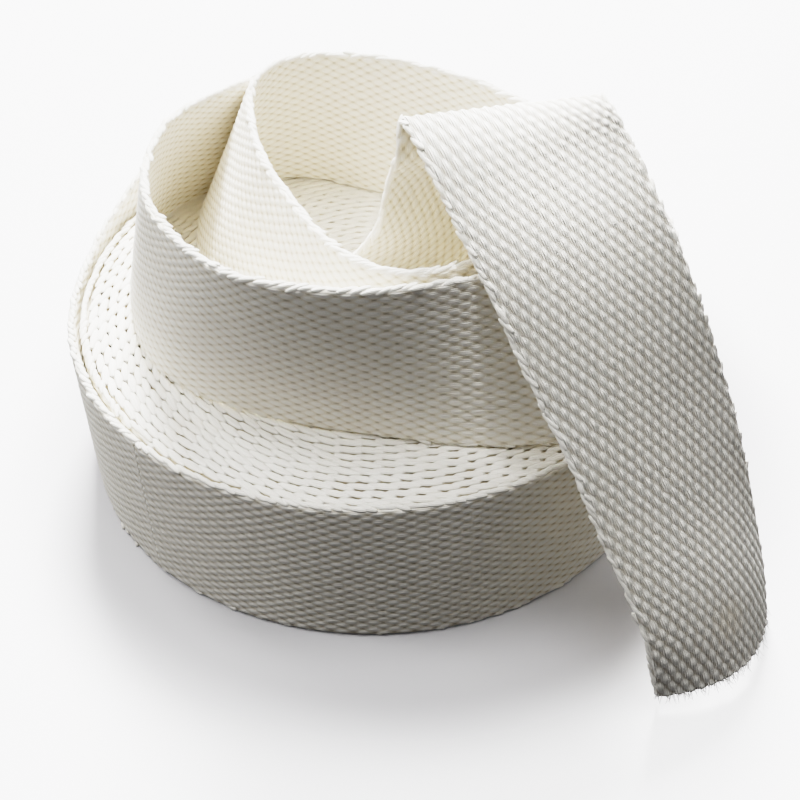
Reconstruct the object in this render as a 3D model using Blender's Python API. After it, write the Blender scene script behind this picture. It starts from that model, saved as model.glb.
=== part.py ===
import bpy
import bmesh
import math
import numpy as np

for old in list(bpy.data.objects):
    bpy.data.objects.remove(old)

MM = 0.001

# The webbing, in metres
WIDTH = 0.050
THICK = 0.0024
SELVAGE_ROUND = 0.0010
TURN_PITCH = 0.0026

# The wound roll, with its axis placed so that the whole object stands over the origin
ROLL_X = -0.0065
ROLL_Y = 0.0097
ROLL_HIGH = 0.0500
ROLL_FOOT_BAND = 0.0842
ROLL_RADIUS = 0.0884
CORE_RADIUS = 0.0170
RIM_ROUND = 0.0008
OUTER_END_DEG = 225.0
OUTER_STEP_DEG = 0.4
ROLL_SEGMENTS = 132

# Shallow rings on top of the roll, where neighbouring turns stand a little high or low
TOP_RINGS = [
    # radius, height
    (0.0842, 0.0493),
    (0.0702, 0.0490),
    (0.0694, 0.0484),
    (0.0686, 0.0491),
    (0.0520, 0.0493),
    (0.0512, 0.0487),
    (0.0504, 0.0493),
    (0.0300, 0.0492),
    (0.0190, 0.0489),
]

# The loose end: one row for each place where its run changes.
# The upper selvage passes through x, y, z; the lower selvage stands at the foot height,
# on the compass bearing given, one webbing width away; the bow hollows the inner face.
STRAP = [
    # place, x mm, y mm, z mm, foot z mm, bearing deg, bow mm
    ("outer turn", -62.8, -61.3, 50.3, 0.3, 0, 0.0),
    ("outer turn", -72.8, -49.1, 50.3, 0.3, 0, 0.0),
    ("outer turn", -80.9, -34.3, 50.3, 0.3, 0, 0.0),
    ("outer turn", -86.9, -15.3, 50.3, 0.3, 0, 0.0),
    ("outer turn", -88.4, 3.1, 50.3, 0.3, 0, 0.0),
    ("outer turn", -85.8, 23.0, 51.4, 1.4, 0, 0.0),
    ("lifting", -77.5, 44.7, 56.8, 6.8, 150, 0.0),
    ("lifting", -57.5, 63.9, 70.0, 20.6, 132, 0.0),
    ("lifting", -29.7, 66.7, 82.0, 37.0, 117, 0.0),
    ("lifting", -7.4, 60.5, 87.5, 49.8, 97, 0.0),
    ("first back", 11.0, 59.0, 87.5, 52.0, 78, 0.0),
    ("first back", 33.0, 47.5, 86.5, 52.0, 55, 0.0),
    ("first right", 50.0, 33.0, 87.0, 51.5, 36, 0.0),
    ("first right", 62.5, 13.0, 92.0, 51.0, 18, 0.0),
    ("first right", 66.0, -11.0, 96.0, 50.5, -4, 0.0),
    ("first right", 61.5, -34.0, 98.0, 50.8, -25, 0.0),
    ("first front", 46.5, -51.5, 98.0, 50.5, -48, 0.0),
    ("first front", 24.9, -59.7, 99.2, 49.7, -70, 0.0),
    ("first front", -0.6, -64.2, 99.6, 49.7, 90, 0.0),
    ("first front", -25.9, -59.6, 99.4, 49.7, 60, 0.0),
    ("first left", -46.1, -41.7, 97.8, 49.7, 150, 0.0),
    ("first left", -57.2, -21.4, 96.6, 49.7, 135, 0.0),
    ("first left", -60.3, 1.7, 95.8, 49.7, 127, 0.0),
    ("first left", -55.2, 24.9, 95.0, 49.7, 115, 0.0),
    ("second back", -43.3, 38.6, 94.0, 49.7, 86, 0.0),
    ("second back", -23.5, 54.5, 91.5, 49.7, 76, 0.0),
    ("second back", 5.0, 50.5, 91.5, 49.7, 78, 0.0),
    ("second back", 27.5, 40.0, 92.0, 49.7, 57, 0.0),
    ("second right", 47.0, 22.0, 94.0, 49.7, 38, 0.0),
    ("second right", 57.5, 0.0, 96.5, 49.7, 14, 0.0),
    ("second right", 54.5, -25.0, 97.8, 49.7, -14, 0.0),
    ("second front", 38.5, -44.0, 98.4, 49.7, -44, 0.0),
    ("second front", 17.5, -56.0, 99.2, 49.7, -30, 0.0),
    ("second front", -0.1, -54.8, 99.4, 49.7, 180, 0.0),
    ("second front", -11.6, -40.0, 97.6, 49.7, -168, 0.0),
    ("second left", -21.8, -17.2, 95.5, 49.7, -174, 0.0),
    ("second left", -29.4, 2.4, 94.8, 49.7, 178, 0.0),
    ("second left", -33.5, 22.3, 94.8, 49.7, 165, 0.0),
    ("third back", -34.1, 38.7, 95.6, 49.7, 146, 0.0),
    ("third back", -26.2, 47.8, 98.0, 49.7, 110, 0.0),
    ("third back", -5.3, 47.8, 99.4, 49.7, 88, 0.0),
    ("third back", 20.9, 36.7, 99.4, 49.7, 70, 0.0),
    ("third right", 39.4, 22.0, 99.0, 49.7, 45, 0.0),
    ("third right", 49.0, 0.0, 98.6, 49.7, 20, 0.0),
    ("third right", 46.5, -27.0, 97.8, 49.7, 100, 0.0),
    ("low turn", 33.0, -44.5, 95.5, 49.7, 100, 0.0),
    ("low turn", 13.0, -51.0, 90.0, 49.8, 68, 0.0),
    ("low turn", -4.0, -48.5, 82.0, 50.2, 45, 0.0),
    ("low turn", -14.0, -40.0, 76.5, 51.2, 31, 0.0),
    ("low turn", -14.0, -30.0, 75.0, 53.5, 24, 0.0),
    ("rising", -5.7, -23.1, 79.0, 58.5, 27, 0.0),
    ("rising", 0.5, -26.6, 89.0, 72.5, 34, 0.0),
    ("rising", 3.1, -28.7, 100.5, 90.0, 33, 0.0),
    ("rising", 5.4, -32.1, 111.5, 107.0, 25, 0.0),
    ("crest", 6.7, -35.3, 120.5, 118.5, 18, 0.0),
    ("crest", 7.8, -35.4, 126.2, 124.2, 13, 0.0),
    ("crest", 9.7, -39.2, 125.2, 123.8, 15, 0.0),
    ("hanging", 16.7, -50.7, 114.9, 118.6, 25, 0.0),
    ("hanging", 24.2, -61.5, 102.7, 108.4, 28, 0.0),
    ("hanging", 33.7, -74.2, 84.7, 90.6, 29, 0.5),
    ("hanging", 39.1, -81.1, 74.7, 79.4, 31, 1.0),
    ("hanging", 44.9, -88.2, 64.3, 67.3, 34, 1.5),
    ("hanging", 50.2, -94.8, 53.1, 54.9, 36, 2.5),
    ("hanging", 55.7, -101.4, 41.7, 41.6, 39, 4.0),
    ("hanging", 61.2, -107.7, 30.3, 28.2, 42, 6.0),
    ("end", 65.2, -111.6, 17.6, 14.5, 42, 8.0),
    ("end", 67.4, -112.4, 4.7, 4.2, 41, 10.0),
]
STRAP_SECTIONS = 236
ACROSS = [-0.94, -0.62, -0.28, 0.28, 0.62, 0.94]

# The frayed cut end
FRAY_GAP = 0.0004
FRAY_BACKING = 0.0010
FRAY_STRANDS = 44
FRAY_LENGTH = 0.0030
FRAY_SPREAD = 0.0006
FRAY_TAPER = 0.62
FLOOR_CLEAR = 0.0002


def new_material(name, colour, rough):
    mat = bpy.data.materials.new(name)
    mat.use_nodes = True
    bsdf = mat.node_tree.nodes["Principled BSDF"]
    bsdf.inputs["Base Color"].default_value = (*colour, 1.0)
    bsdf.inputs["Roughness"].default_value = rough
    return mat


def add_object(name, bm, material):
    bmesh.ops.recalc_face_normals(bm, faces=bm.faces[:])
    mesh = bpy.data.meshes.new(name)
    bm.to_mesh(mesh)
    bm.free()
    mesh.materials.append(material)
    obj = bpy.data.objects.new(name, mesh)
    PART.objects.link(obj)
    return obj


def loft(bm, rings, close_along=False):
    """Skin a row of closed rings, capping both ends of an open row."""
    verts = [[bm.verts.new(p) for p in ring] for ring in rings]
    count = len(verts[0])
    last = len(verts) if close_along else len(verts) - 1
    for i in range(last):
        near = verts[i]
        far = verts[(i + 1) % len(verts)]
        for j in range(count):
            k = (j + 1) % count
            bm.faces.new((near[j], near[k], far[k], far[j]))
    if not close_along:
        bm.faces.new(verts[0][::-1])
        bm.faces.new(verts[-1])
    return verts


def spline(knots, values, at):
    """Natural cubic spline through the rows of values."""
    step = np.diff(knots)
    size = len(knots)
    matrix = np.eye(size)
    right = np.zeros(values.shape)
    for i in range(1, size - 1):
        matrix[i, i - 1] = step[i - 1]
        matrix[i, i] = 2.0 * (step[i - 1] + step[i])
        matrix[i, i + 1] = step[i]
        rise = (values[i + 1] - values[i]) / step[i]
        before = (values[i] - values[i - 1]) / step[i - 1]
        right[i] = 6.0 * (rise - before)
    bend = np.linalg.solve(matrix, right)
    cell = np.clip(np.searchsorted(knots, at) - 1, 0, size - 2)
    h = step[cell][:, None]
    a = (knots[cell + 1] - at)[:, None] / h
    b = 1.0 - a
    curve = a * values[cell] + b * values[cell + 1]
    return curve + ((a**3 - a) * bend[cell] + (b**3 - b) * bend[cell + 1]) * h * h / 6.0


def strap_selvages():
    """Upper selvage, lower selvage and bow at each section of the loose end."""
    rows = np.array([row[1:] for row in STRAP], float)
    upper = rows[:, 0:3] * MM + np.array([ROLL_X, ROLL_Y, 0.0])
    foot_z = rows[:, 3] * MM
    bearing = np.radians(rows[:, 4])
    bow = rows[:, 5] * MM
    chord = WIDTH - 8.0 * bow**2 / (3.0 * WIDTH)
    reach = np.sqrt(np.maximum(chord**2 - (upper[:, 2] - foot_z) ** 2, 0.0))
    foot = np.stack([upper[:, 0] + reach * np.cos(bearing),
                     upper[:, 1] + reach * np.sin(bearing), foot_z], -1)
    middle = 0.5 * (upper + foot)
    knots = np.r_[0.0, np.cumsum(np.linalg.norm(np.diff(middle, axis=0), axis=1))]
    at = np.linspace(0.0, knots[-1], STRAP_SECTIONS)
    both = spline(knots, np.concatenate([upper, foot, bow[:, None]], axis=1), at)
    return both[:, 0:3], both[:, 3:6], both[:, 6]


def strap_surface(upper, foot, bow, across):
    """Points and outward normals on the middle surface, sections by places across."""
    across = np.asarray(across)[None, :, None]
    middle = 0.5 * (upper + foot)[:, None, :]
    half = 0.5 * (upper - foot)[:, None, :]
    along = np.gradient(0.5 * (upper + foot), axis=0)
    face = np.cross(upper - foot, along)
    face /= np.linalg.norm(face, axis=1)[:, None]
    points = middle + across * half + (1.0 - across**2) * bow[:, None, None] * face[:, None, :]
    run = np.gradient(points, axis=0)
    over = np.gradient(points, axis=1) if points.shape[1] > 1 else half
    normal = np.cross(over, run)
    normal /= np.linalg.norm(normal, axis=2)[:, :, None]
    return points, normal


def ribbon_rings(upper, foot, bow):
    """Closed cross-sections of the webbing, with rounded selvages."""
    shrink = 1.0 - 2.0 * SELVAGE_ROUND / WIDTH
    lanes = [v * shrink for v in ACROSS]
    points, normal = strap_surface(upper, foot, bow, [-1.0] + lanes + [1.0])
    rings = []
    for p, n in zip(points, normal):
        ring = [p[-1]]
        ring += [p[j] + n[j] * THICK / 2 for j in range(len(lanes), 0, -1)]
        ring += [p[0]]
        ring += [p[j] - n[j] * THICK / 2 for j in range(1, len(lanes) + 1)]
        rings.append(ring)
    return rings


PART = bpy.data.collections.new("webbing_roll")
bpy.context.scene.collection.children.link(PART)

WEBBING = new_material("cotton_webbing", (0.86, 0.85, 0.82), 0.92)
LOOSE_WEBBING = new_material("cotton_webbing_loose", (0.88, 0.87, 0.84), 0.92)
CUT_YARN = new_material("cut_cotton_yarn", (0.90, 0.89, 0.87), 0.95)

# Wound roll: the turns lie tight, so the body is one disc with its core hole.
# Its wall follows the last turn and steps in by one turn where the loose end begins.
bm = bmesh.new()
rings = []
for i in range(ROLL_SEGMENTS + 1):
    turned = i / ROLL_SEGMENTS
    angle = math.radians(OUTER_END_DEG - OUTER_STEP_DEG - turned * (360.0 - OUTER_STEP_DEG))
    wall = ROLL_RADIUS - TURN_PITCH * (1.0 - turned)
    section = [(CORE_RADIUS, 0.0), (wall - RIM_ROUND, 0.0), (wall, RIM_ROUND)]
    section += [(wall, ROLL_HIGH - RIM_ROUND), (wall - RIM_ROUND, ROLL_HIGH)]
    section += [(ROLL_FOOT_BAND + RIM_ROUND, ROLL_HIGH)]
    section += TOP_RINGS
    section += [(CORE_RADIUS + RIM_ROUND, TOP_RINGS[-1][1])]
    section += [(CORE_RADIUS, TOP_RINGS[-1][1] - RIM_ROUND)]
    rings.append([(ROLL_X + r * math.cos(angle), ROLL_Y + r * math.sin(angle), z)
                  for r, z in section])
verts = loft(bm, rings, close_along=True)
bmesh.ops.remove_doubles(bm, verts=bm.verts[:], dist=1e-6)
add_object("wound_roll", bm, WEBBING)

# Loose end: the webbing leaves the outside of the roll, climbs on to it at the back,
# makes two standing turns and a low one, rises to a crest and hangs to the floor.
upper, foot, bow = strap_selvages()
bm = bmesh.new()
loft(bm, ribbon_rings(upper, foot, bow))
add_object("loose_end", bm, LOOSE_WEBBING)

# Frayed end: a narrow backing across the cut with short tapered warp ends on it
lanes = np.linspace(-1.0, 1.0, 2 * FRAY_STRANDS)
shrink = 1.0 - 2.0 * SELVAGE_ROUND / WIDTH
points, normal = strap_surface(upper, foot, bow, lanes * shrink)
edge = points[-1]
outward = normal[-1]
down = points[-1] - points[-2]
down /= np.linalg.norm(down, axis=1)[:, None]
rng = np.random.default_rng(7)
bm = bmesh.new()
rows = []
for reach in (FRAY_GAP, FRAY_GAP + FRAY_BACKING):
    level = edge + down * reach
    rows.append([[bm.verts.new(p + n * side * THICK * 0.42) for side in (1.0, -1.0)]
                 for p, n in zip(level, outward)])
roots = []
for i in range(len(lanes) - 1):
    for row in (0, 1):
        face = bm.faces.new((rows[row][i][0], rows[row][i][1],
                             rows[row][i + 1][1], rows[row][i + 1][0]))
        if row == 1 and i % 2 == 0:
            roots.append(face)
    for side in (0, 1):
        bm.faces.new((rows[0][i][side], rows[0][i + 1][side],
                      rows[1][i + 1][side], rows[1][i][side]))
for i in (0, -1):
    bm.faces.new((rows[0][i][0], rows[0][i][1], rows[1][i][1], rows[1][i][0]))
for face in roots:
    tip = bmesh.ops.extrude_discrete_faces(bm, faces=[face])["faces"][0]
    centre = tip.calc_center_median()
    i = int(np.argmin(np.linalg.norm(edge - np.array(centre), axis=1)))
    reach = FRAY_LENGTH * rng.uniform(0.55, 1.0)
    shift = down[i] * reach + outward[i] * rng.uniform(-1.0, 1.0) * FRAY_SPREAD
    for vert in tip.verts:
        vert.co = centre + (vert.co - centre) * FRAY_TAPER
        vert.co.x += shift[0]
        vert.co.y += shift[1]
        vert.co.z = max(vert.co.z + shift[2], FLOOR_CLEAR)
add_object("frayed_end", bm, CUT_YARN)
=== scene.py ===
import math

import bpy
import numpy as np
from mathutils import Matrix, Vector


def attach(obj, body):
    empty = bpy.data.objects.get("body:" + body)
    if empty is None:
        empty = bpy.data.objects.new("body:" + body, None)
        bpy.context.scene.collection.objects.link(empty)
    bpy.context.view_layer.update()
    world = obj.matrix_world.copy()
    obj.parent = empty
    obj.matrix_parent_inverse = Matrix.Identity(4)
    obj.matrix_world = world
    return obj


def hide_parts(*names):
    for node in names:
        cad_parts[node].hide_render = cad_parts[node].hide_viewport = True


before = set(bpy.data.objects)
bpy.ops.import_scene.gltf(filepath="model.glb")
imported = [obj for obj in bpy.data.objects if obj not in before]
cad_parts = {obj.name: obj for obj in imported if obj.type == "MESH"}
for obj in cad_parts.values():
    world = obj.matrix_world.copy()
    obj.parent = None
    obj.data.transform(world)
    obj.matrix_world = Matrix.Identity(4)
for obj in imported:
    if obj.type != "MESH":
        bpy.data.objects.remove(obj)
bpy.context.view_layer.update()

# Wound turns
# More than eight metres of flat cotton webbing, wound tight on its edge round a bare hole.
# Only the upper selvages show, as rings of yarn loops with dark dashes where neighbouring
# turns meet, so the faces of these turns are left smooth.

MM = 0.001
WIDTH = 0.050
THICK = 0.0024
ROLL_X, ROLL_Y = -0.0065, 0.0097
OUTER_DEG = 224.3
OUTER_MID = 0.0872
LOOSE_MID = 0.08776
TURN_PITCH = 0.0026
TURNS = 26.54
REPEAT = 0.0055
ROWS = 36
# Shape of the weave: rounder grooves at a higher power, deeper ones at a larger share
GROOVE_ROUND = 0.80
RIB_DEPTH = 0.66
HANGING_RIB_DEPTH = 0.90
CUT_DEPTH = 0.70
# Painted shade in the pits: the float height where it is full, where it starts, and its strength
PIT_FULL = 0.10
PIT_EDGE = 0.24
PIT_SHADE = 0.45
# Relief drawn in the material, in metres
FLOAT_BUMP = 0.00020
HANGING_BUMP = 0.00055
YARN_BUMP = 0.00018
YARN_SHARE = 0.45
NAP_BUMP = 0.00022
# Places along the loose end, in metres from where it leaves the roll
HANGING_FROM = 1.21
HANGING_TO = 1.26
STAIN_AT = 1.3996
STAIN_UP = 0.027
STAIN_REACH = 0.008
FOOT_LIFT = 0.0003
TURN_TOP = 0.0488
TURN_STEP = 0.00275
TURN_UNEVEN = 0.00018
TURN_RIPPLE = 0.00006
FOLD_IN = 0.0012
# A low even crown value, which draws the wound turns in the painted groove shade
EVEN_CROWN = 0.15
# The cotton's white, and the darker cream painted as shade in its grooves
COTTON_WHITE = "#faf7ef"
COTTON_GROOVE_SHADE = "#ded3bb"


def linear(code):
    """An sRGB hex colour as linear red, green, blue and full alpha."""
    parts = [int(code[i:i + 2], 16) / 255 for i in (1, 3, 5)]
    return (*[p / 12.92 if p <= 0.04045 else ((p + 0.055) / 1.055) ** 2.4 for p in parts], 1.0)


def add_node(tree, kind, values=(), links=(), **settings):
    """A node with its settings, its sockets' plain values and its links."""
    node = tree.nodes.new(kind)
    for name, value in settings.items():
        setattr(node, name, value)
    for socket, value in dict(values).items():
        node.inputs[socket].default_value = value
    for socket, source in dict(links).items():
        tree.links.new(source, node.inputs[socket])
    return node


def colour_socket(mix, name):
    """The colour input of that name on a Mix node, which has one per data type."""
    return [s for s in mix.inputs if s.name == name and s.type == "RGBA"][0]


def blend_to(tree, colour, code, share):
    """The colour drawn towards another by a share that varies over the cloth."""
    mix = add_node(tree, "ShaderNodeMix", {}, {}, data_type="RGBA")
    tree.links.new(share, mix.inputs["Factor"])
    tree.links.new(colour, colour_socket(mix, "A"))
    colour_socket(mix, "B").default_value = linear(code)
    return [s for s in mix.outputs if s.type == "RGBA"][0]


def float_grain(tree, in_mm, hanging):
    """Height of the floats, 0 to 1, and how far they stand fuller where the end hangs free."""
    # The floats lie a little unevenly, up to about 1 mm along the cloth
    uneven = add_node(tree, "ShaderNodeTexNoise", {"Scale": 0.22, "Detail": 1.0},
                      {"Vector": in_mm}).outputs["Color"]
    centred = add_node(tree, "ShaderNodeVectorMath", {1: (0.5, 0.5, 0.5)}, {0: uneven},
                       operation="SUBTRACT").outputs[0]
    nudged = add_node(tree, "ShaderNodeVectorMath", {1: (2.2, 0.8, 0.0)},
                      {0: centred, 2: in_mm}, operation="MULTIPLY_ADD").outputs[0]
    places = add_node(tree, "ShaderNodeSeparateXYZ", {}, {0: nudged}).outputs
    full = None
    if hanging:
        # Where the end hangs free, its outer floats stand out fuller than where it is wound
        free = add_node(tree, "ShaderNodeMapRange",
                        {"From Min": HANGING_FROM / MM, "From Max": HANGING_TO / MM},
                        {"Value": places["X"]}, interpolation_type="SMOOTHSTEP").outputs["Result"]
        outer = add_node(tree, "ShaderNodeMath", {1: WIDTH / MM}, {0: places["Y"]},
                         operation="LESS_THAN").outputs[0]
        full = add_node(tree, "ShaderNodeMath", {}, {0: free, 1: outer},
                        operation="MULTIPLY").outputs[0]
        rib_depth = add_node(tree, "ShaderNodeMapRange",
                             {"To Min": RIB_DEPTH, "To Max": HANGING_RIB_DEPTH},
                             {"Value": full}).outputs["Result"]
    # The floats' ribs run one way over the cloth, and the picks cut them the other way
    waves = []
    for sense, depth in ((1.0, RIB_DEPTH), (-1.0, CUT_DEPTH)):
        over = add_node(tree, "ShaderNodeMath", {1: sense * math.pi * ROWS / (WIDTH / MM)},
                        {0: places["Y"]}, operation="MULTIPLY").outputs[0]
        phase = add_node(tree, "ShaderNodeMath", {1: 2 * math.pi / (REPEAT / MM)},
                         {0: places["X"], 2: over}, operation="MULTIPLY_ADD").outputs[0]
        wave = add_node(tree, "ShaderNodeMath", {}, {0: phase}, operation="COSINE").outputs[0]
        share = add_node(tree, "ShaderNodeMath", {1: 0.5, 2: 0.5}, {0: wave},
                         operation="MULTIPLY_ADD").outputs[0]
        rounded = add_node(tree, "ShaderNodeMath", {1: GROOVE_ROUND}, {0: share},
                           operation="POWER").outputs[0]
        gap = add_node(tree, "ShaderNodeMath", {0: 1.0}, {1: rounded},
                       operation="SUBTRACT").outputs[0]
        sunk = add_node(tree, "ShaderNodeMath", {1: depth}, {0: gap}, operation="MULTIPLY")
        if hanging and sense > 0:
            tree.links.new(rib_depth, sunk.inputs[1])
        waves.append(add_node(tree, "ShaderNodeMath", {0: 1.0}, {1: sunk.outputs[0]},
                              operation="SUBTRACT").outputs[0])
    grain = add_node(tree, "ShaderNodeMath", {}, {0: waves[0], 1: waves[1]},
                     operation="MULTIPLY").outputs[0]
    return grain, full


def cotton(name, crown, groove, rough=0.92, woven=True, hanging=False):
    """Loosely spun and bleached cotton: matt and a little hairy, with no shine.

    Where it is woven, its crowns are white, and painted shade darkens the grooves and marks the
    small pits as brown dashes.
    """
    material = bpy.data.materials.new(name)
    material.use_nodes = True
    tree = material.node_tree
    tree.nodes.clear()
    cloth = add_node(tree, "ShaderNodeUVMap", uv_map="cloth").outputs["UV"]
    in_mm = add_node(tree, "ShaderNodeMapping", {"Scale": (1 / MM, 1 / MM, 1.0)},
                     {"Vector": cloth}).outputs["Vector"]
    place = add_node(tree, "ShaderNodeTexCoord").outputs["Object"]
    place_mm = add_node(tree, "ShaderNodeMapping", {"Scale": (1 / MM,) * 3},
                        {"Vector": place}).outputs["Vector"]
    # Yarns lie side by side about 0.5 mm apart within each float
    drawn = add_node(tree, "ShaderNodeMapping", {"Scale": (0.22, 1.0, 1.0)},
                     {"Vector": in_mm}).outputs["Vector"]
    yarn = add_node(tree, "ShaderNodeTexWave",
                    {"Scale": 0.62, "Distortion": 2.2, "Detail": 2.0, "Detail Scale": 1.4},
                    {"Vector": drawn}, bands_direction="Y").outputs["Fac"]
    # Fuzz of loose fibre ends, about 0.3 mm grain
    fuzz = add_node(tree, "ShaderNodeTexNoise",
                    {"Scale": 3.1, "Detail": 4.0, "Roughness": 0.65},
                    {"Vector": place_mm}).outputs["Fac"]
    # Slow unevenness of the bleach, over about 15 mm
    mottle = add_node(tree, "ShaderNodeTexNoise", {"Scale": 0.07, "Detail": 2.0},
                      {"Vector": place_mm}).outputs["Fac"]
    if woven:
        grain, full = float_grain(tree, in_mm, hanging)
        height = grain
    else:
        height = add_node(tree, "ShaderNodeAttribute", attribute_name="crown").outputs["Fac"]
    lifted = add_node(tree, "ShaderNodeMath", {1: 0.35}, {0: fuzz},
                      operation="MULTIPLY").outputs[0]
    height = add_node(tree, "ShaderNodeMath", {}, {0: height, 1: lifted},
                      operation="ADD").outputs[0]
    # Painted shade: the colour runs from the darker groove colour in the low places to the crown
    # colour on the high ones
    ramp = add_node(tree, "ShaderNodeMapRange", {"From Min": 0.12, "From Max": 0.80},
                    {"Value": height}).outputs["Result"]
    base = add_node(tree, "ShaderNodeRGB")
    base.outputs[0].default_value = linear(groove)
    colour = base.outputs[0]
    # Where the end hangs free, the painted shade in the grooves is greyer
    if hanging:
        colour = blend_to(tree, colour, "#cfcac0", full)
    colour = blend_to(tree, colour, crown, ramp)
    warm = add_node(tree, "ShaderNodeMapRange",
                    {"From Min": 0.35, "From Max": 0.75, "To Max": 0.35},
                    {"Value": mottle}).outputs["Result"]
    colour = blend_to(tree, colour, "#f6f0e3", warm)
    if woven:
        # The small pits between the floats' ends are in shade: painted shade, as brown dashes in
        # the colour where the floats are lowest
        painted_pit_shade = add_node(tree, "ShaderNodeMapRange",
                       {"From Min": PIT_EDGE, "From Max": PIT_FULL, "To Max": PIT_SHADE},
                       {"Value": grain}).outputs["Result"]
        colour = blend_to(tree, colour, "#988c78", painted_pit_shade)
    yarns = add_node(tree, "ShaderNodeBump", {"Strength": YARN_SHARE, "Distance": YARN_BUMP},
                     {"Height": yarn})
    if woven:
        floats = add_node(tree, "ShaderNodeBump",
                          {"Distance": HANGING_BUMP if hanging else FLOAT_BUMP},
                          {"Height": grain})
        tree.links.new(floats.outputs["Normal"], yarns.inputs["Normal"])
    if hanging:
        for relief, least in ((floats, FLOAT_BUMP / HANGING_BUMP), (yarns, YARN_SHARE)):
            strength = add_node(tree, "ShaderNodeMapRange", {"To Min": least},
                                {"Value": full}).outputs["Result"]
            tree.links.new(strength, relief.inputs["Strength"])
        # A faint old stain near the cut
        far = add_node(tree, "ShaderNodeVectorMath", {1: (STAIN_AT / MM, STAIN_UP / MM, 0.0)},
                       {0: in_mm}, operation="DISTANCE").outputs["Value"]
        shade = add_node(tree, "ShaderNodeMapRange",
                         {"From Min": STAIN_REACH / MM, "From Max": 0.0, "To Max": 0.40},
                         {"Value": far}, interpolation_type="SMOOTHSTEP").outputs["Result"]
        colour = blend_to(tree, colour, "#e6d9c2", shade)
    nap = add_node(tree, "ShaderNodeBump", {"Strength": 0.55, "Distance": NAP_BUMP},
                   {"Height": fuzz, "Normal": yarns.outputs["Normal"]}).outputs["Normal"]
    skin = add_node(tree, "ShaderNodeBsdfPrincipled",
                    {"Roughness": rough, "Sheen Weight": 0.25, "Sheen Roughness": 0.5,
                     "Specular IOR Level": 0.25},
                    {"Base Color": colour, "Normal": nap})
    add_node(tree, "ShaderNodeOutputMaterial", {}, {"Surface": skin.outputs["BSDF"]})
    return material


def new_piece(name, rings, uv, crown, material):
    """A closed smooth tube through rows of cross-sections, its cloth map and crown heights."""
    sections, count = rings.shape[:2]
    points = rings.reshape(-1, 3)
    i, j = np.meshgrid(np.arange(sections - 1), np.arange(count), indexing="ij")
    k = (j + 1) % count
    walls = np.stack([i * count + j, i * count + k, (i + 1) * count + k, (i + 1) * count + j], -1)
    walls = walls.reshape(-1, 4)
    start = list(range(count))[::-1]
    end = [p + (sections - 1) * count for p in range(count)]
    mesh = bpy.data.meshes.new(name)
    mesh.from_pydata(points.tolist(), [], walls.tolist() + [start, end])
    a, b, c, d = (points[walls[:, corner]] for corner in range(4))
    volume = ((a * np.cross(b, c)).sum() + (a * np.cross(c, d)).sum()) / 6
    if volume < 0:
        mesh.flip_normals()
    corners = np.zeros(len(mesh.loops), np.int32)
    mesh.loops.foreach_get("vertex_index", corners)
    layer = mesh.uv_layers.new(name="cloth")
    layer.data.foreach_set("uv", uv.reshape(-1, 2)[corners].astype(np.float32).ravel())
    heights = mesh.attributes.new("crown", "FLOAT", "POINT")
    heights.data.foreach_set("value", crown.reshape(-1).astype(np.float32))
    mesh.polygons.foreach_set("use_smooth", [True] * len(walls) + [False, False])
    mesh.materials.append(material)
    obj = bpy.data.objects.new(name, mesh)
    bpy.context.scene.collection.objects.link(obj)
    return obj


def wound_mid(turn):
    """Angle and radius of the webbing's middle that many turns in from its outer end."""
    angle = math.radians(OUTER_DEG) + 2 * math.pi * turn
    ease = (LOOSE_MID - OUTER_MID) * np.exp(-turn / 0.04)
    return angle, OUTER_MID - TURN_PITCH * turn + ease


def wound_run(first, last, step):
    """Places along the winding at an even step: turns in, and length from its outer end."""
    turn = np.linspace(0.0, TURNS, 40000)
    angle, radius = wound_mid(turn)
    length = np.r_[0.0, np.cumsum(0.5 * (radius[1:] + radius[:-1]) * np.diff(angle))]
    begin, end = np.interp([first, last], turn, length)
    at = np.linspace(begin, end, int(round((end - begin) / step)) + 1)
    return np.interp(at, length, turn), at


def wound_frame(turn):
    """Middle point on the floor, direction outward and direction of winding inward."""
    angle, radius = wound_mid(turn)
    out = np.stack([np.cos(angle), np.sin(angle), 0 * angle], -1)
    run = np.stack([-np.sin(angle), np.cos(angle), 0 * angle], -1)
    centre = np.array([ROLL_X, ROLL_Y, 0.0]) + out * radius[:, None]
    return centre, out, run


def turn_lift(turn):
    """How much the turns stand high or low of each other, in metres."""
    slow = TURN_UNEVEN * np.sin(turn * 9.1) * np.sin(turn * 2.3 + 1.0)
    return slow + TURN_RIPPLE * np.sin(turn * 31.0)


# Between the imported turns only dull creamy shade shows, painted into this cloth as the darker
# groove colour
COTTON_WOUND_SHADED = cotton("cotton_webbing_wound", COTTON_WHITE, "#d8cbb0", woven=False)

turn, at = wound_run(1.0, TURNS, TURN_STEP)
centre, out, run = wound_frame(turn)
SECTION = [
    # place across the thickness as a share of its half, and how far in from the selvage
    (-0.96, FOLD_IN), (-0.55, 0.0), (0.55, 0.0), (0.96, FOLD_IN),
    (0.96, -FOLD_IN), (0.55, 0.0), (-0.55, 0.0), (-0.96, -FOLD_IN),
]
points, cloth_at = [], []
for k, (side, inset) in enumerate(SECTION):
    level = FOOT_LIFT + inset if k < 4 else TURN_TOP + inset + turn_lift(turn)
    ring = centre + out * (side * THICK / 2)
    ring[:, 2] = level
    points.append(ring)
    cloth_at.append(np.stack([at, ring[:, 2]], -1))
points = np.stack(points, 1)
wound_turns = new_piece("wound_turns", points, np.stack(cloth_at, 1),
                        np.full(points.shape[:2], EVEN_CROWN), COTTON_WOUND_SHADED)
wound_length = at[-1] - at[0]

# Last wound turn
# The turn under the loose end: its outer face is the wall of the roll that shows.
# Double-woven webbing, so warp floats like grains of rice cover it in a brick pattern.

PER_REPEAT = 8
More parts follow.
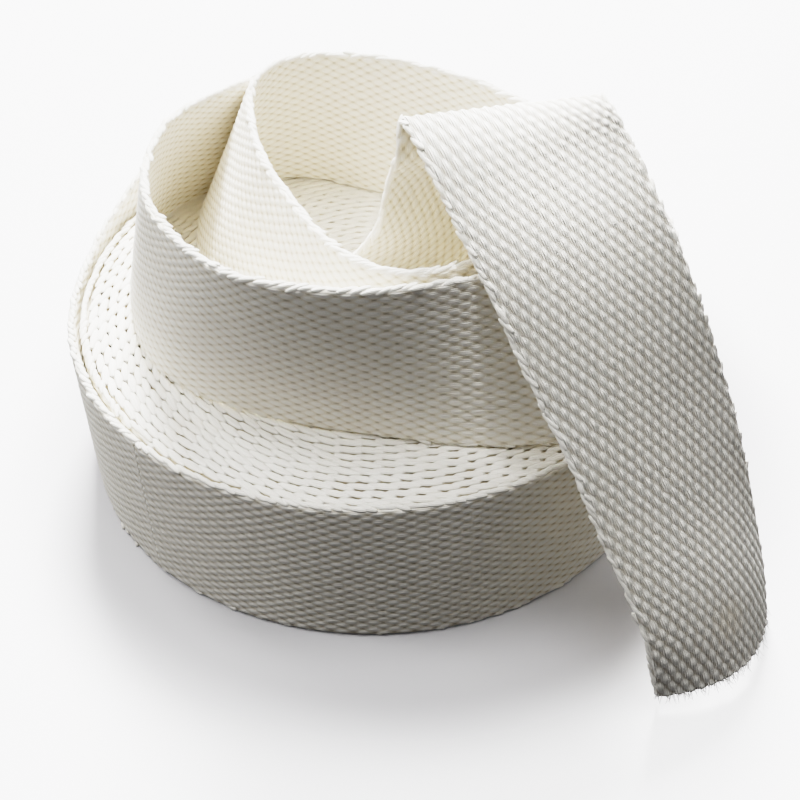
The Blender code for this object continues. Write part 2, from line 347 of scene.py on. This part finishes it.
# Height of a float from pit to crown, where the webbing hangs free and where it is wound
FLOAT_RISE = 0.00055
WOUND_RISE = 0.00040
CROWN_LEVEL = 0.65
EDGE_ROUND = 0.0011
LAST_TOP = 0.0496
# A face that never shows has one lane in nine
HIDDEN_SKIP = 9


def fullness(along):
    """How far the webbing hangs free at a place along it, from 0 where it is wound to 1."""
    share = np.clip((along - HANGING_FROM) / (HANGING_TO - HANGING_FROM), 0.0, 1.0)
    return share * share * (3.0 - 2.0 * share)


def float_heights(along, across):
    """Height, 0 in the grooves to 1 on a crown, of the floats at places on one face."""
    run = 2 * math.pi * along / REPEAT
    over = math.pi * across * ROWS / WIDTH
    depth = RIB_DEPTH + (HANGING_RIB_DEPTH - RIB_DEPTH) * fullness(along)
    rib = 1.0 - depth + depth * (0.5 + 0.5 * np.cos(run + over)) ** GROOVE_ROUND
    cut = 1.0 - CUT_DEPTH + CUT_DEPTH * (0.5 + 0.5 * np.cos(run - over)) ** GROOVE_ROUND
    uneven = np.random.default_rng(11).uniform(0.82, 1.0, (401, 409))
    float_no = (np.mod(np.round((run + over) / (2 * math.pi)).astype(int), 401),
                np.mod(np.round((run - over) / (2 * math.pi)).astype(int), 409))
    return rib * cut * uneven[float_no]


def ribbon(name, surface, normal, along, sides, material, tuck=0.0):
    """Closed webbing on a middle surface, with raised floats on the faces asked for.

    Tuck is how far each section's faces are drawn in, to lie under the next length's end.
    """
    lanes = surface.shape[1]
    across = np.linspace(0.0, WIDTH, lanes)
    edge = np.clip(np.minimum(across, WIDTH - across) / EDGE_ROUND, 0.0, 1.0)
    round_off = np.sqrt(1.0 - (1.0 - edge) ** 2)[None, :]
    order = np.arange(1, lanes - 1)[::-1]
    rings, crowns, cloths = [], [], []
    for side in (1, -1):
        # The map runs on over the upper selvage, so both faces have the same hand
        over = across if side > 0 else 2 * WIDTH - across
        crown = np.full(surface.shape[:2], 0.5)
        if side in sides:
            crown = float_heights(along[:, None], over[None, :])
        free = fullness(along)[:, None] if side > 0 else 0.0
        height = WOUND_RISE + (FLOAT_RISE - WOUND_RISE) * free
        rise = THICK / 2 + height * (crown - CROWN_LEVEL) - tuck
        face = surface + normal * (side * rise * round_off)[..., None]
        cloth = np.stack(np.broadcast_arrays(along[:, None], over[None, :]), -1)
        lane = np.arange(lanes) if side > 0 else order
        if side not in sides:
            lane = lane[HIDDEN_SKIP // 2::HIDDEN_SKIP]
        rings.append(face[:, lane])
        crowns.append(crown[:, lane])
        cloths.append(cloth[:, lane])
    return new_piece(name, np.concatenate(rings, 1), np.concatenate(cloths, 1),
                     np.concatenate(crowns, 1), material)


# Even rows of soft white floats, with painted creamy shade in the grooves
COTTON_LAST = cotton("cotton_webbing_outer_turn", COTTON_WHITE, COTTON_GROOVE_SHADE)

turn, at = wound_run(0.0, 1.0, REPEAT / PER_REPEAT)
centre, out, run = wound_frame(turn)
lanes = 2 * ROWS + 1
rise = np.linspace(FOOT_LIFT, LAST_TOP, lanes)
surface = np.repeat(centre[:, None, :], lanes, axis=1)
surface[:, :, 2] = rise[None, :]
normal = np.repeat(out[:, None, :], lanes, axis=1)
last_turn = ribbon("last_wound_turn", surface, normal, -at, (1,), COTTON_LAST)
last_length = at[-1] - at[0]

# Loose end
# The free length of the webbing: it leaves the outside of the roll, climbs on to it at
# the back, stands on its edge in loops, rises to a crest and hangs down to the floor.

STRAP = [
    # upper selvage x, y, z mm from the roll's axis, foot z mm, bearing deg, bow mm
    (-62.8, -61.3, 50.3, 0.3, 0, 0.0),
    (-72.8, -49.1, 50.3, 0.3, 0, 0.0),
    (-80.9, -34.3, 50.3, 0.3, 0, 0.0),
    (-86.9, -15.3, 50.3, 0.3, 0, 0.0),
    (-88.4, 3.1, 50.3, 0.3, 0, 0.0),
    (-85.8, 23.0, 51.4, 1.4, 0, 0.0),
    (-77.5, 44.7, 56.8, 6.8, 150, 0.0),
    (-57.5, 63.9, 70.0, 20.6, 132, 0.0),
    (-29.7, 66.7, 82.0, 37.0, 117, 0.0),
    (-7.4, 60.5, 87.5, 49.8, 97, 0.0),
    (11.0, 59.0, 87.5, 52.0, 78, 0.0),
    (33.0, 47.5, 86.5, 52.0, 55, 0.0),
    (50.0, 33.0, 87.0, 51.5, 36, 0.0),
    (62.5, 13.0, 92.0, 51.0, 18, 0.0),
    (66.0, -11.0, 96.0, 50.5, -4, 0.0),
    (61.5, -34.0, 98.0, 50.8, -25, 0.0),
    (46.5, -51.5, 98.0, 50.5, -48, 0.0),
    (24.9, -59.7, 99.2, 49.7, -70, 0.0),
    (-0.6, -64.2, 99.6, 49.7, 90, 0.0),
    (-25.9, -59.6, 99.4, 49.7, 60, 0.0),
    (-46.1, -41.7, 97.8, 49.7, 150, 0.0),
    (-57.2, -21.4, 96.6, 49.7, 135, 0.0),
    (-60.3, 1.7, 95.8, 49.7, 127, 0.0),
    (-55.2, 24.9, 95.0, 49.7, 115, 0.0),
    (-43.3, 38.6, 94.0, 49.7, 86, 0.0),
    (-23.5, 54.5, 91.5, 49.7, 76, 0.0),
    (5.0, 50.5, 91.5, 49.7, 78, 0.0),
    (27.5, 40.0, 92.0, 49.7, 57, 0.0),
    (47.0, 22.0, 94.0, 49.7, 38, 0.0),
    (57.5, 0.0, 96.5, 49.7, 14, 0.0),
    (54.5, -25.0, 97.8, 49.7, -14, 0.0),
    (38.5, -44.0, 98.4, 49.7, -44, 0.0),
    (17.5, -56.0, 99.2, 49.7, -30, 0.0),
    (-0.1, -54.8, 99.4, 49.7, 180, 0.0),
    (-11.6, -40.0, 97.6, 49.7, -168, 0.0),
    (-21.8, -17.2, 95.5, 49.7, -174, 0.0),
    (-29.4, 2.4, 94.8, 49.7, 178, 0.0),
    (-33.5, 22.3, 94.8, 49.7, 165, 0.0),
    (-34.1, 38.7, 95.6, 49.7, 146, 0.0),
    (-26.2, 47.8, 98.0, 49.7, 110, 0.0),
    (-5.3, 47.8, 99.4, 49.7, 88, 0.0),
    (20.9, 36.7, 99.4, 49.7, 70, 0.0),
    (39.4, 22.0, 99.0, 49.7, 45, 0.0),
    (49.0, 0.0, 98.6, 49.7, 20, 0.0),
    (46.5, -27.0, 97.8, 49.7, 100, 0.0),
    (33.0, -44.5, 95.5, 49.7, 100, 0.0),
    (13.0, -51.0, 90.0, 49.8, 68, 0.0),
    (-4.0, -48.5, 82.0, 50.2, 45, 0.0),
    (-14.0, -40.0, 76.5, 51.2, 31, 0.0),
    (-14.0, -30.0, 75.0, 53.5, 24, 0.0),
    (-5.7, -23.1, 79.0, 58.5, 27, 0.0),
    (0.5, -26.6, 89.0, 72.5, 34, 0.0),
    (3.1, -28.7, 100.5, 90.0, 33, 0.0),
    (5.4, -32.1, 111.5, 107.0, 25, 0.0),
    (6.7, -35.3, 120.5, 118.5, 18, 0.0),
    (7.8, -35.4, 126.2, 124.2, 13, 0.0),
    (9.7, -39.2, 125.2, 123.8, 15, 0.0),
    (16.7, -50.7, 114.9, 118.6, 25, 0.0),
    (24.2, -61.5, 102.7, 108.4, 28, 0.0),
    (33.7, -74.2, 84.7, 90.6, 29, 0.5),
    (39.1, -81.1, 74.7, 79.4, 31, 1.0),
    (44.9, -88.2, 64.3, 67.3, 34, 1.5),
    (50.2, -94.8, 53.1, 54.9, 36, 2.5),
    (55.7, -101.4, 41.7, 41.6, 39, 4.0),
    (61.2, -107.7, 30.3, 28.2, 42, 6.0),
    (65.2, -111.6, 17.6, 14.5, 42, 8.0),
    (67.4, -112.4, 4.7, 4.2, 41, 10.0),
]
LENGTHS = [
    # piece, share of the loose length where it starts and ends
    ("loose_end_climb", 0.00, 0.25),
    ("loose_end_first_loop", 0.25, 0.50),
    ("loose_end_second_loop", 0.50, 0.75),
    ("loose_end_crest_and_fall", 0.75, 1.00),
]
LAP = 0.00001


def spline(knots, values, at):
    """Natural cubic spline through the rows of values."""
    step = np.diff(knots)
    size = len(knots)
    matrix = np.eye(size)
    right = np.zeros(values.shape)
    for i in range(1, size - 1):
        matrix[i, i - 1] = step[i - 1]
        matrix[i, i] = 2.0 * (step[i - 1] + step[i])
        matrix[i, i + 1] = step[i]
        rise = (values[i + 1] - values[i]) / step[i]
        before = (values[i] - values[i - 1]) / step[i - 1]
        right[i] = 6.0 * (rise - before)
    bend = np.linalg.solve(matrix, right)
    cell = np.clip(np.searchsorted(knots, at) - 1, 0, size - 2)
    h = step[cell][:, None]
    a = (knots[cell + 1] - at)[:, None] / h
    b = 1.0 - a
    curve = a * values[cell] + b * values[cell + 1]
    return curve + ((a**3 - a) * bend[cell] + (b**3 - b) * bend[cell + 1]) * h * h / 6.0


def strap_selvages():
    """Upper selvage, foot selvage, bow and length from the roll, at an even fine step."""
    rows = np.array(STRAP, float)
    upper = rows[:, 0:3] * MM + np.array([ROLL_X, ROLL_Y, 0.0])
    foot_z = rows[:, 3] * MM
    bearing = np.radians(rows[:, 4])
    bow = rows[:, 5] * MM
    chord = WIDTH - 8.0 * bow**2 / (3.0 * WIDTH)
    reach = np.sqrt(np.maximum(chord**2 - (upper[:, 2] - foot_z) ** 2, 0.0))
    foot = np.stack([upper[:, 0] + reach * np.cos(bearing),
                     upper[:, 1] + reach * np.sin(bearing), foot_z], -1)
    middle = 0.5 * (upper + foot)
    knots = np.r_[0.0, np.cumsum(np.linalg.norm(np.diff(middle, axis=0), axis=1))]
    rows = np.concatenate([upper, foot, bow[:, None]], axis=1)
    fine = spline(knots, rows, np.linspace(0.0, knots[-1], 6000))
    middle = 0.5 * (fine[:, 0:3] + fine[:, 3:6])
    length = np.r_[0.0, np.cumsum(np.linalg.norm(np.diff(middle, axis=0), axis=1))]
    count = int(round(length[-1] / REPEAT * PER_REPEAT))
    at = np.linspace(0.0, length[-1], count + 1)
    even = np.stack([np.interp(at, length, column) for column in fine.T], -1)
    return even[:, 0:3], even[:, 3:6], even[:, 6], at


def strap_surface(upper, foot, bow, across):
    """Points and outward normals on the middle surface, sections by places across."""
    across = np.asarray(across)[None, :, None]
    middle = 0.5 * (upper + foot)[:, None, :]
    half = 0.5 * (upper - foot)[:, None, :]
    along = np.gradient(0.5 * (upper + foot), axis=0)
    face = np.cross(upper - foot, along)
    face /= np.linalg.norm(face, axis=1)[:, None]
    points = middle + across * half + (1.0 - across**2) * bow[:, None, None] * face[:, None, :]
    run = np.gradient(points, axis=0)
    over = np.gradient(points, axis=1)
    normal = np.cross(over, run)
    normal /= np.linalg.norm(normal, axis=2)[:, :, None]
    return points, normal


# The same cloth, and the cut end with deeper grooves where it hangs free, their painted shade
# grey-white
COTTON_LOOSE = cotton("cotton_webbing_loose", COTTON_WHITE, COTTON_GROOVE_SHADE)
COTTON_END = cotton("cotton_webbing_loose_cut_end", COTTON_WHITE, COTTON_GROOVE_SHADE, hanging=True)

upper, foot, bow, strap_at = strap_selvages()
strap_length = strap_at[-1]
strap_mid, strap_normal = strap_surface(upper, foot, bow, np.linspace(-1.0, 1.0, lanes))
loose_pieces = []
for name, first, last in LENGTHS:
    i0, i1 = (int(round(share * (len(strap_at) - 1))) for share in (first, last))
    # Each length runs one section on, under its neighbour, so that no seam shows
    pick = slice(max(i0 - 1, 0), min(i1 + 2, len(strap_at)))
    tuck = np.zeros((len(strap_at[pick]), 1))
    if first > 0.0:
        tuck[0] = LAP
    if last < 1.0:
        tuck[-1] = LAP
    material = COTTON_END if last == 1.0 else COTTON_LOOSE
    piece = ribbon(name, strap_mid[pick], strap_normal[pick], strap_at[pick], (1, -1),
                   material, tuck)
    loose_pieces.append((piece, strap_at[i1] - strap_at[i0]))

# Selvages
# Along both edges the weft turns back round the outermost warp ends, which leaves a rope
# of slanted loops, two to a repeat of the weave. On the roll's top they are longer and
# pressed flat, one to a repeat, and make the rings that show there.

LOOP_LONG = 0.0056
LOOP_HIGH = 0.0015
LOOP_THICK = 0.0016
LOOP_STEP = 0.00275
LOOP_STRAY = 0.0002
LOOSE_STRAY = 0.00025
LOOP_SUNK = 0.0005
LAST_LOOP_SUNK = 0.0003
FOOT_LOOP_UP = 0.0007
TABLE_CLEAR = 0.0001


def open_sockets(tree, sockets):
    """A tree's named inputs with their first values, and its one output of geometry."""
    for name, kind, value in sockets:
        socket = tree.interface.new_socket(name, in_out="INPUT", socket_type=kind)
        if value is not None:
            socket.default_value = value
    tree.interface.new_socket("Geometry", in_out="OUTPUT", socket_type="NodeSocketGeometry")
    return add_node(tree, "NodeGroupInput").outputs


def loops_tree():
    """Slanted yarn loops at points, turned by each point's lie, as one mesh."""
    tree = bpy.data.node_groups.new("selvage_loops", "GeometryNodeTree")
    given = open_sockets(tree, [
        ("Geometry", "NodeSocketGeometry", None), ("loop length", "NodeSocketFloat", 0.006),
        ("loop height", "NodeSocketFloat", 0.002), ("loop thickness", "NodeSocketFloat", 0.002),
        ("size spread", "NodeSocketFloat", 0.1), ("segments", "NodeSocketInt", 8),
        ("rings", "NodeSocketInt", 5), ("seed", "NodeSocketInt", 3),
        ("yarn", "NodeSocketMaterial", None)])
    ball = add_node(tree, "GeometryNodeMeshUVSphere", {"Radius": 0.5},
                    {"Segments": given["segments"], "Rings": given["rings"]})
    mapped = add_node(tree, "ShaderNodeVectorMath", {1: (REPEAT, REPEAT, 0.0)},
                      {0: ball.outputs["UV Map"]}, operation="MULTIPLY")
    turned = add_node(tree, "ShaderNodeSeparateXYZ", {}, {0: mapped.outputs[0]})
    cloth = add_node(tree, "ShaderNodeCombineXYZ", {}, {0: turned.outputs[1], 1: turned.outputs[0]})
    named = add_node(tree, "GeometryNodeStoreNamedAttribute", {"Name": "cloth"},
                     {"Geometry": ball.outputs["Mesh"], "Value": cloth.outputs[0]},
                     data_type="FLOAT2", domain="CORNER")
    high = add_node(tree, "GeometryNodeStoreNamedAttribute", {"Name": "crown", "Value": 0.85},
                    {"Geometry": named.outputs[0]}, data_type="FLOAT", domain="POINT")
    smooth = add_node(tree, "GeometryNodeSetShadeSmooth", {}, {0: high.outputs[0]})
    lie = add_node(tree, "GeometryNodeInputNamedAttribute", {"Name": "lie"},
                   data_type="FLOAT_VECTOR")
    turn_to = add_node(tree, "FunctionNodeEulerToRotation", {}, {0: lie.outputs[0]})
    low = add_node(tree, "ShaderNodeMath", {0: 1.0}, {1: given["size spread"]},
                   operation="SUBTRACT")
    top = add_node(tree, "ShaderNodeMath", {0: 1.0}, {1: given["size spread"]}, operation="ADD")
    vary = add_node(tree, "FunctionNodeRandomValue", {},
                    {"Min": low.outputs[0], "Max": top.outputs[0], "Seed": given["seed"]},
                    data_type="FLOAT")
    size = add_node(tree, "ShaderNodeCombineXYZ", {},
                    {0: given["loop thickness"], 1: given["loop height"], 2: given["loop length"]})
    scale = add_node(tree, "ShaderNodeVectorMath", {}, {0: size.outputs[0],
                     "Scale": [s for s in vary.outputs if s.type == "VALUE"][0]}, operation="SCALE")
    placed = add_node(tree, "GeometryNodeInstanceOnPoints", {},
                      {"Points": given["Geometry"], "Instance": smooth.outputs[0],
                       "Rotation": turn_to.outputs[0], "Scale": scale.outputs[0]})
    real = add_node(tree, "GeometryNodeRealizeInstances", {}, {0: placed.outputs[0]})
    dyed = add_node(tree, "GeometryNodeSetMaterial", {},
                    {"Geometry": real.outputs[0], "Material": given["yarn"]})
    add_node(tree, "NodeGroupOutput", {}, {0: dyed.outputs[0]})
    return tree


def grow(name, tree, spots, lies, **sizes):
    """Run a node tree on spots that each have a lie, and keep the result as a plain mesh."""
    seeds = bpy.data.meshes.new(name + "_spots")
    seeds.from_pydata(spots.tolist(), [], [])
    held = seeds.attributes.new("lie", "FLOAT_VECTOR", "POINT")
    held.data.foreach_set("vector", lies.astype(np.float32).ravel())
    bed = bpy.data.objects.new(name + "_spots", seeds)
    bpy.context.scene.collection.objects.link(bed)
    modifier = bed.modifiers.new("grow", "NODES")
    modifier.node_group = tree
    for socket in tree.interface.items_tree:
        key = socket.name.replace(" ", "_")
        if socket.in_out == "INPUT" and key in sizes:
            modifier[socket.identifier] = sizes[key]
    depsgraph = bpy.context.evaluated_depsgraph_get()
    grown = bpy.data.meshes.new_from_object(bed.evaluated_get(depsgraph), depsgraph=depsgraph)
    bpy.data.objects.remove(bed)
    bpy.data.meshes.remove(seeds)
    grown.name = name
    obj = bpy.data.objects.new(name, grown)
    bpy.context.scene.collection.objects.link(obj)
    return obj


def lies_of(long_axis, across_axis):
    """Euler angles that turn Z to the long axis and Y near the across axis, row by row."""
    angles = []
    for z, y in zip(long_axis, across_axis):
        z = Vector(z).normalized()
        x = Vector(y).cross(z).normalized()
        y = z.cross(x)
        angles.append(tuple(Matrix((x, y, z)).transposed().to_euler()))
    return np.array(angles)


LOOPS = loops_tree()
# Smooth thick yarn, a little whiter and rounder than the cloth
SELVAGE_YARN = cotton("cotton_selvage_yarn", COTTON_WHITE, "#e2d8c4", woven=False)

turn, at = wound_run(1.0, TURNS, REPEAT)
centre, out, run = wound_frame(turn)
spots = centre.copy()
spots[:, 2] = TURN_TOP + turn_lift(turn)
up = np.array([0.0, 0.0, 1.0])
lean = np.random.default_rng(23).normal(0.20, 0.05, (len(turn), 1))
lies = lies_of(run + lean * out, np.tile(up, (len(turn), 1)))
wound_loops = grow("wound_selvage_loops", LOOPS, spots, lies, loop_length=0.0092,
                   loop_height=0.0011, loop_thickness=0.0025, size_spread=0.06, seed=5,
                   rings=4, yarn=SELVAGE_YARN)

turn, at = wound_run(0.0, 1.0, LOOP_STEP)
centre, out, run = wound_frame(turn)
rng = np.random.default_rng(17)
lean = rng.normal(0.24, 0.10, (2, len(turn), 1))
centre = centre + out * rng.normal(0.0, LOOP_STRAY, (len(turn), 1))
spots = np.concatenate([centre, centre])
spots[:len(turn), 2] = LAST_TOP - LAST_LOOP_SUNK
spots[len(turn):, 2] = FOOT_LIFT + FOOT_LOOP_UP
lies = lies_of(np.concatenate([run + lean[0] * out, run + lean[1] * out]),
               np.concatenate([np.tile(up, (len(turn), 1)), np.tile(-up, (len(turn), 1))]))
last_loops = grow("last_turn_selvage_loops", LOOPS, spots, lies, loop_length=LOOP_LONG,
                  loop_height=LOOP_HIGH, loop_thickness=LOOP_THICK, size_spread=0.08, seed=8,
                  yarn=SELVAGE_YARN)

loop_at = np.arange(0.5 * REPEAT, strap_length - 0.5 * REPEAT, LOOP_STEP)
spots, longs, edges = [], [], []
# The loops lean to the outer face and dip to the webbing, each by its own amount
for line, other, sense in ((upper, foot, 1), (foot, upper, -1)):
    edge = line - other
    edge /= np.linalg.norm(edge, axis=1)[:, None]
    run = np.gradient(line, axis=0)
    run /= np.linalg.norm(run, axis=1)[:, None]
    face = np.cross(edge, run) * sense
    spot, run, face, edge = (
        np.stack([np.interp(loop_at, strap_at, column[:, k]) for k in range(3)], -1)
        for column in (line - edge * LOOP_SUNK, run, face * sense, edge))
    lean, dip = rng.normal((0.26, -0.12), 0.12, (len(loop_at), 2)).T[:, :, None]
    spots.append(spot + face * rng.normal(0.0, LOOSE_STRAY, (len(loop_at), 1)))
    longs.append(run + lean * face + dip * edge)
    edges.append(edge)
spots, longs, edges = (np.concatenate(rows) for rows in (spots, longs, edges))
loose_loops = grow("loose_end_selvage_loops", LOOPS, spots, lies_of(longs, edges),
                   loop_length=LOOP_LONG, loop_height=LOOP_HIGH, loop_thickness=LOOP_THICK,
                   size_spread=0.10, seed=12, yarn=SELVAGE_YARN)
for vertex in loose_loops.data.vertices:
    vertex.co.z = max(vertex.co.z, TABLE_CLEAR)

# Frayed end
# The webbing was cut with shears and not sealed, so the last few millimetres of the warp
# have opened into short soft tufts of white fibre.

FRAY_LONG = 0.0042
FRAY_WIDE = 0.00026
FRAY_SUNK = 0.0008
FRAY_LEAN = 0.16
TUFTS = 52
FIBRES = 9


def fray_tree():
    """Short tapered fibres at points, bent and turned by each point's lie, as one mesh."""
    tree = bpy.data.node_groups.new("frayed_warp", "GeometryNodeTree")
    given = open_sockets(tree, [
        ("Geometry", "NodeSocketGeometry", None), ("fibre length", "NodeSocketFloat", 0.004),
        ("fibre width", "NodeSocketFloat", 0.0003), ("bend", "NodeSocketFloat", 0.3),
        ("size spread", "NodeSocketFloat", 0.3), ("seed", "NodeSocketInt", 3),
        ("yarn", "NodeSocketMaterial", None)])
    tip = add_node(tree, "ShaderNodeCombineXYZ", {2: 0.92}, {0: given["bend"]})
    arc = add_node(tree, "GeometryNodeCurveQuadraticBezier",
                   {"Resolution": 4, "Start": (0, 0, 0), "Middle": (0, 0, 0.55)},
                   {"End": tip.outputs[0]})
    done = add_node(tree, "GeometryNodeSplineParameter").outputs["Factor"]
    thin = add_node(tree, "ShaderNodeMapRange", {"To Min": 1.0, "To Max": 0.35}, {"Value": done})
    share = add_node(tree, "ShaderNodeMath", {},
                     {0: given["fibre width"], 1: given["fibre length"]}, operation="DIVIDE")
    radius = add_node(tree, "ShaderNodeMath", {}, {0: thin.outputs[0], 1: share.outputs[0]},
                      operation="MULTIPLY")
    ring = add_node(tree, "GeometryNodeCurvePrimitiveCircle", {"Resolution": 4, "Radius": 0.5})
    thick = add_node(tree, "GeometryNodeSetCurveRadius", {},
                     {"Curve": arc.outputs[0], "Radius": radius.outputs[0]})
    fibre = add_node(tree, "GeometryNodeCurveToMesh", {"Fill Caps": True},
                     {"Curve": thick.outputs[0], "Profile Curve": ring.outputs[0],
                      "Scale": radius.outputs[0]})
    high = add_node(tree, "GeometryNodeStoreNamedAttribute", {"Name": "crown", "Value": 1.0},
                    {"Geometry": fibre.outputs[0]}, data_type="FLOAT", domain="POINT")
    smooth = add_node(tree, "GeometryNodeSetShadeSmooth", {}, {0: high.outputs[0]})
    lie = add_node(tree, "GeometryNodeInputNamedAttribute", {"Name": "lie"},
                   data_type="FLOAT_VECTOR")
    turn_to = add_node(tree, "FunctionNodeEulerToRotation", {}, {0: lie.outputs[0]})
    low = add_node(tree, "ShaderNodeMath", {0: 1.0}, {1: given["size spread"]},
                   operation="SUBTRACT")
    vary = add_node(tree, "FunctionNodeRandomValue", {"Max": 1.0},
                    {"Min": low.outputs[0], "Seed": given["seed"]}, data_type="FLOAT")
    long = add_node(tree, "ShaderNodeMath", {}, {0: given["fibre length"],
                    1: [s for s in vary.outputs if s.type == "VALUE"][0]}, operation="MULTIPLY")
    placed = add_node(tree, "GeometryNodeInstanceOnPoints", {},
                      {"Points": given["Geometry"], "Instance": smooth.outputs[0],
                       "Rotation": turn_to.outputs[0], "Scale": long.outputs[0]})
    real = add_node(tree, "GeometryNodeRealizeInstances", {}, {0: placed.outputs[0]})
    dyed = add_node(tree, "GeometryNodeSetMaterial", {},
                    {"Geometry": real.outputs[0], "Material": given["yarn"]})
    add_node(tree, "NodeGroupOutput", {}, {0: dyed.outputs[0]})
    return tree


# Loose fibre, the whitest and mattest of all
FRAY_YARN = cotton("cut_cotton_fibre", "#fbf9f4", "#e4ddcf", rough=0.95, woven=False)

rng = np.random.default_rng(23)
end = strap_mid[-1]
end_normal = strap_normal[-1]
down = strap_mid[-1] - strap_mid[-2]
down /= np.linalg.norm(down, axis=1)[:, None]
tuft_at = (np.arange(TUFTS) + 0.5) / TUFTS
spots, longs, acrosses = [], [], []
for tuft in tuft_at:
    lean = rng.normal(0.0, FRAY_LEAN)
    for fibre in range(FIBRES):
        place = np.clip(tuft + rng.normal(0.0, 0.006), 0.005, 0.995) * (lanes - 1)
        root = np.array([np.interp(place, np.arange(lanes), end[:, k]) for k in range(3)])
        face = np.array([np.interp(place, np.arange(lanes), end_normal[:, k]) for k in range(3)])
        fall = np.array([np.interp(place, np.arange(lanes), down[:, k]) for k in range(3)])
        across = np.cross(face, fall)
        level = rng.uniform(-0.9, 0.9)
        spots.append(root + face * level * THICK / 2 - fall * FRAY_SUNK)
        longs.append(fall + across * (lean + rng.normal(0.0, FRAY_LEAN))
                     + face * (0.28 * level + rng.normal(0.0, 0.12)))
        acrosses.append(across * math.cos(fibre) + face * math.sin(fibre))
frayed = grow("frayed_end_fibres", fray_tree(), np.array(spots), lies_of(longs, acrosses),
              fibre_length=FRAY_LONG, fibre_width=FRAY_WIDE, bend=0.22, size_spread=0.5, seed=4,
              yarn=FRAY_YARN)
for vertex in frayed.data.vertices:
    vertex.co.z = max(vertex.co.z, TABLE_CLEAR)

# How the pieces join
# Every piece belongs to the one standing roll, and the imported parts that they stand in for are
# hidden.

for piece in (wound_turns, last_turn, wound_loops, last_loops, loose_loops, frayed):
    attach(piece, "root")
for piece, length in loose_pieces:
    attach(piece, "root")
    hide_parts("loose_end")
for piece, length in ((wound_turns, wound_length), (last_turn, last_length)):
    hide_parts("wound_roll")
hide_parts("frayed_end")

# Floor, light and camera
# A plain white table with a painted glow, which makes it look overexposed but for the soft shade
# near the roll, a large window behind, dim ones all round, and a skylight that whitens the crest.
# The view is the photograph's: close, from a little under 43 degrees above.

HALF_FLOOR = 3.0
# From the middle of the table, in metres: where the painted glow starts, which keeps the cast shade
# only nearer the roll, and where it has its full strength
PAINTED_GLOW_START = 0.098
PAINTED_GLOW_FULL = 0.130
corners = [(-1, -1), (1, -1), (1, 1), (-1, 1)]
floor_mesh = bpy.data.meshes.new("floor")
floor_mesh.from_pydata([(x * HALF_FLOOR, y * HALF_FLOOR, 0) for x, y in corners],
                       [], [(0, 1, 2, 3)])
floor = bpy.data.objects.new("floor", floor_mesh)
bpy.context.scene.collection.objects.link(floor)
# White laminate, matt, with painted light: it gives off a faint even glow away from the roll, which
# lightens the cast shade there, but none near the roll
paper = bpy.data.materials.new("white_table")
paper.use_nodes = True
tree = paper.node_tree
ground = add_node(tree, "ShaderNodeTexCoord").outputs["Object"]
away = add_node(tree, "ShaderNodeVectorMath", {}, {0: ground}, operation="LENGTH")
painted_glow = add_node(tree, "ShaderNodeMapRange", {"From Min": PAINTED_GLOW_START, "From Max": PAINTED_GLOW_FULL},
                {"Value": away.outputs["Value"]}, interpolation_type="SMOOTHSTEP")
skin = tree.nodes["Principled BSDF"]
skin.inputs["Base Color"].default_value = linear("#cdccce")
skin.inputs["Roughness"].default_value = 0.7
skin.inputs["Emission Color"].default_value = linear("#ffffff")
# Painted light: the glow's strength rises from nothing near the roll to full away from it
tree.links.new(painted_glow.outputs["Result"], skin.inputs["Emission Strength"])
floor_mesh.materials.append(paper)
floor.visible_diffuse = False

LIGHTS = [
    # name, stands at x, y, z m, size m, watts
    ("back_window", (0.0, 1.70, 1.83), 0.7, 185.0),
    ("back_left_window", (-1.20, 1.20, 1.83), 0.7, 17.0),
    ("ceiling", (0.0, 0.0, 2.50), 1.2, 22.0),
    ("front_left_ceiling", (-1.0, -0.75, 1.90), 0.7, 6.5),
    ("left_ceiling", (-1.43, 0.0, 2.05), 0.7, 14.0),
    ("right_ceiling", (1.43, 0.0, 2.05), 0.7, 9.0),
    ("left_window", (-2.40, 0.4, 0.65), 0.7, 5.1),
]
for name, stands, size, watts in LIGHTS:
    lamp = bpy.data.lights.new(name, "AREA")
    lamp.shape = "SQUARE"
    lamp.size = size
    lamp.energy = watts
    holder = bpy.data.objects.new(name, lamp)
    holder.location = stands
    aim = Vector((0.0, 0.0, 0.05)) - Vector(stands)
    holder.rotation_euler = aim.to_track_quat("-Z", "Y").to_euler()
    bpy.context.scene.collection.objects.link(holder)

beam = bpy.data.lights.new("skylight", "SPOT")
beam.energy = 560.0
beam.spot_size = 0.036
beam.spot_blend = 1.0
beam.shadow_soft_size = 0.02
skylight = bpy.data.objects.new("skylight", beam)
skylight.location = (0.030, -0.014, 2.40)
bpy.context.scene.collection.objects.link(skylight)

world = bpy.data.worlds.new("soft_room")
world.use_nodes = True
room = world.node_tree.nodes["Background"]
room.inputs["Color"].default_value = linear("#f6f6fa")
room.inputs["Strength"].default_value = 0.104
scene = bpy.context.scene
scene.world = world
scene.view_settings.view_transform = "Filmic"
scene.view_settings.look = "Very High Contrast"
scene.cycles.diffuse_bounces = 10

# How far the camera looks down and how far it is turned on its own axis, in radians
PITCH = 0.7464
TILT = -0.0319
camera = bpy.data.cameras.new("camera")
camera.sensor_width = 36.0
camera.lens = 60.75
camera.clip_start = 0.01
viewer = bpy.data.objects.new("camera", camera)
forward = Vector((0.0, math.cos(PITCH), -math.sin(PITCH)))
right = Vector((1.0, 0.0, 0.0))
above = right.cross(forward)
across_view = math.cos(TILT) * right + math.sin(TILT) * above
up_view = -math.sin(TILT) * right + math.cos(TILT) * above
pose = Matrix((across_view, up_view, -forward)).transposed().to_4x4()
pose.translation = (-0.0010, -0.3018, 0.2930)
viewer.matrix_world = pose
bpy.context.scene.collection.objects.link(viewer)
bpy.context.scene.camera = viewer
